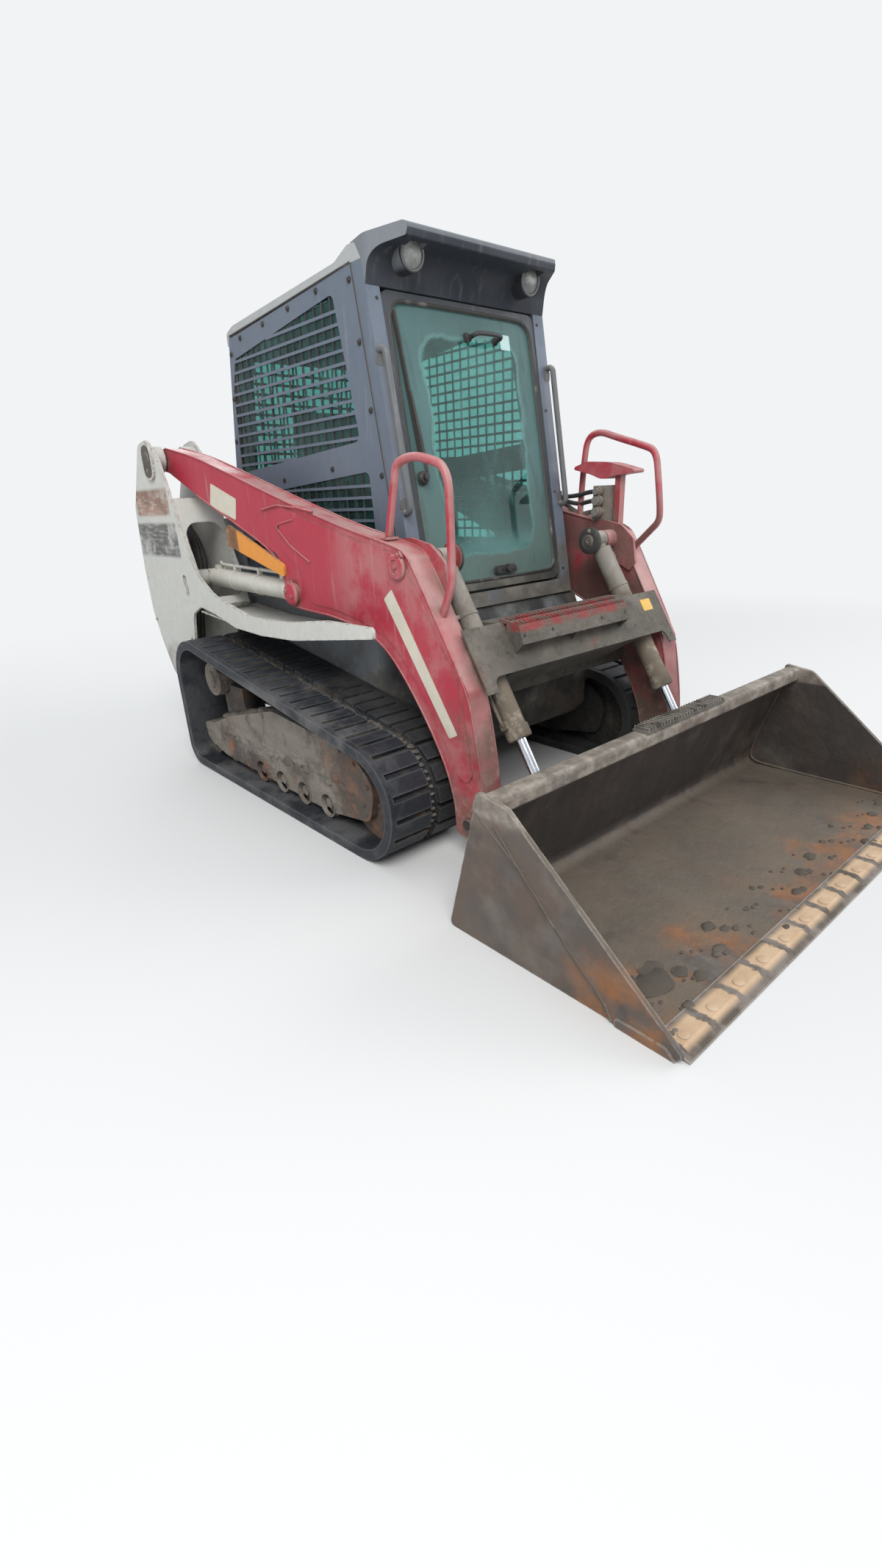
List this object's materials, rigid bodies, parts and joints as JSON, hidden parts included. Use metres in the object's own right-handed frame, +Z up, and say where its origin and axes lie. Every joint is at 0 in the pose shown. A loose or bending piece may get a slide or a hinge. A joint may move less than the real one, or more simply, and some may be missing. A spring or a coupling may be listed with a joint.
{
  "type": "compact track loader",
  "caption": "Compact track loader with radial lift arms, an enclosed cab, rubber tracks and a low bucket on a tilting coupler.",
  "frame": {"origin": "on the ground under the middle of the machine's overall box, bucket included", "axes": "+Z up, the bucket faces -Y, +X is the machine's left side"},
  "size_m": [2.134, 3.74, 2.2907],
  "materials": {
    "track_rubber": "matte",
    "undercarriage": "rough",
    "grey_paint": "satin",
    "hull_paint": "satin",
    "red_paint": "satin",
    "cab_paint": "satin",
    "roof_paint": "matte",
    "visor_plastic": "matte",
    "lamp_body": "gloss",
    "bar_paint": "satin",
    "glass": "gloss",
    "cream_paint": "satin",
    "cylinder_grey": "satin",
    "chrome_rod": "polished",
    "worn_steel": "rough",
    "lock_orange": "satin",
    "engine_iron": "rough",
    "seat_vinyl": "matte",
    "console_plastic": "matte"
  },
  "bodies": {
    "machine": {"track_r": "track_rubber", "track_l": "track_rubber", "track_frame_r": "undercarriage", "track_frame_l": "undercarriage", "main_frame": "hull_paint", "engine_bay": "hull_paint", "rear_bumper": "hull_paint", "side_plate_r": "grey_paint", "side_plate_l": "grey_paint", "tower_r": "grey_paint", "tower_l": "grey_paint", "cab_frame": "cab_paint", "cab_side_r": "cab_paint", "cab_side_l": "cab_paint", "cab_back": "cab_paint", "front_door": "cab_paint", "cab_roof": "roof_paint", "visor": "visor_plastic", "work_lamps": "lamp_body", "grab_bars": "bar_paint", "side_glass": "glass", "rear_glass": "glass", "door_glass": "glass", "engine_block": "engine_iron", "operator_seat": "seat_vinyl", "consoles": "console_plastic"},
    "boom": {"arm_r": "red_paint", "arm_l": "red_paint", "handrail_r": "red_paint", "handrail_l": "red_paint", "boom_lock": "lock_orange", "coupler_block": "cylinder_grey", "cross_member": "red_paint"},
    "bucket": {"hitch_frame": "worn_steel", "bucket": "worn_steel", "cutting_edge": "worn_steel"},
    "rear_door": {"rear_door": "hull_paint"},
    "engine_hood": {"engine_hood": "hull_paint"},
    "lift_barrel_r": {"lift_barrel_r": "cream_paint"},
    "lift_barrel_l": {"lift_barrel_l": "cream_paint"},
    "lift_rod_r": {"lift_rod_r": "chrome_rod"},
    "lift_rod_l": {"lift_rod_l": "chrome_rod"},
    "tilt_barrel_r": {"tilt_barrel_r": "cylinder_grey"},
    "tilt_barrel_l": {"tilt_barrel_l": "cylinder_grey"},
    "tilt_rod_r": {"tilt_rod_r": "chrome_rod"},
    "tilt_rod_l": {"tilt_rod_l": "chrome_rod"}
  },
  "joints": [
    {"name": "boom_lift", "type": "hinge", "parent": "machine", "child": "boom", "pos_m": [0, 1.48, 1.612], "axis": [-1, 0, 0], "range_deg": [0, 68]},
    {"name": "bucket_tilt", "type": "hinge", "parent": "boom", "child": "bucket", "pos_m": [0, -0.7, 0.165], "axis": [1, 0, 0], "range_deg": [-30, 95]},
    {"name": "rear_door_swing", "type": "hinge", "parent": "machine", "child": "rear_door", "pos_m": [0.613, 1.862, 0.9], "axis": [0, 0, -1], "range_deg": [0, 100]},
    {"name": "engine_hood_lift", "type": "hinge", "parent": "machine", "child": "engine_hood", "pos_m": [0, 1.33, 1.37], "axis": [1, 0, 0], "range_deg": [0, 60]},
    {"name": "lift_swing_r", "type": "hinge", "parent": "machine", "child": "lift_barrel_r", "pos_m": [-0.703, 1.33, 1.015], "axis": [-1, 0, 0], "range_deg": [0, 60.4]},
    {"name": "lift_extend_r", "type": "slide", "parent": "lift_barrel_r", "child": "lift_rod_r", "axis": [0, -0.9998, -0.0207], "range_m": [0, 0.668]},
    {"name": "tilt_swing_r", "type": "hinge", "parent": "boom", "child": "tilt_barrel_r", "pos_m": [-0.5, -0.372, 1.145], "axis": [1, 0, 0], "range_deg": [-2.3, 7.1]},
    {"name": "tilt_extend_r", "type": "slide", "parent": "tilt_barrel_r", "child": "tilt_rod_r", "axis": [0, -0.5386, -0.8426], "range_m": [-0.103, 0.325]},
    {"name": "lift_swing_l", "type": "hinge", "parent": "machine", "child": "lift_barrel_l", "pos_m": [0.703, 1.33, 1.015], "axis": [-1, 0, 0], "range_deg": [0, 60.4]},
    {"name": "lift_extend_l", "type": "slide", "parent": "lift_barrel_l", "child": "lift_rod_l", "axis": [0, -0.9998, -0.0207], "range_m": [0, 0.668]},
    {"name": "tilt_swing_l", "type": "hinge", "parent": "boom", "child": "tilt_barrel_l", "pos_m": [0.5, -0.372, 1.145], "axis": [1, 0, 0], "range_deg": [-2.3, 7.1]},
    {"name": "tilt_extend_l", "type": "slide", "parent": "tilt_barrel_l", "child": "tilt_rod_l", "axis": [0, -0.5386, -0.8426], "range_m": [-0.103, 0.325]}
  ],
  "couplings": [
    {"joint": "lift_swing_r", "follows": "boom_lift", "ratio": 0.887},
    {"joint": "lift_extend_r", "follows": "boom_lift", "m_per_rad": 0.562},
    {"joint": "tilt_swing_r", "follows": "bucket_tilt", "ratio": 0.074},
    {"joint": "tilt_extend_r", "follows": "bucket_tilt", "m_per_rad": 0.195},
    {"joint": "lift_swing_l", "follows": "boom_lift", "ratio": 0.887},
    {"joint": "lift_extend_l", "follows": "boom_lift", "m_per_rad": 0.562},
    {"joint": "tilt_swing_l", "follows": "bucket_tilt", "ratio": 0.074},
    {"joint": "tilt_extend_l", "follows": "bucket_tilt", "m_per_rad": 0.195}
  ]
}
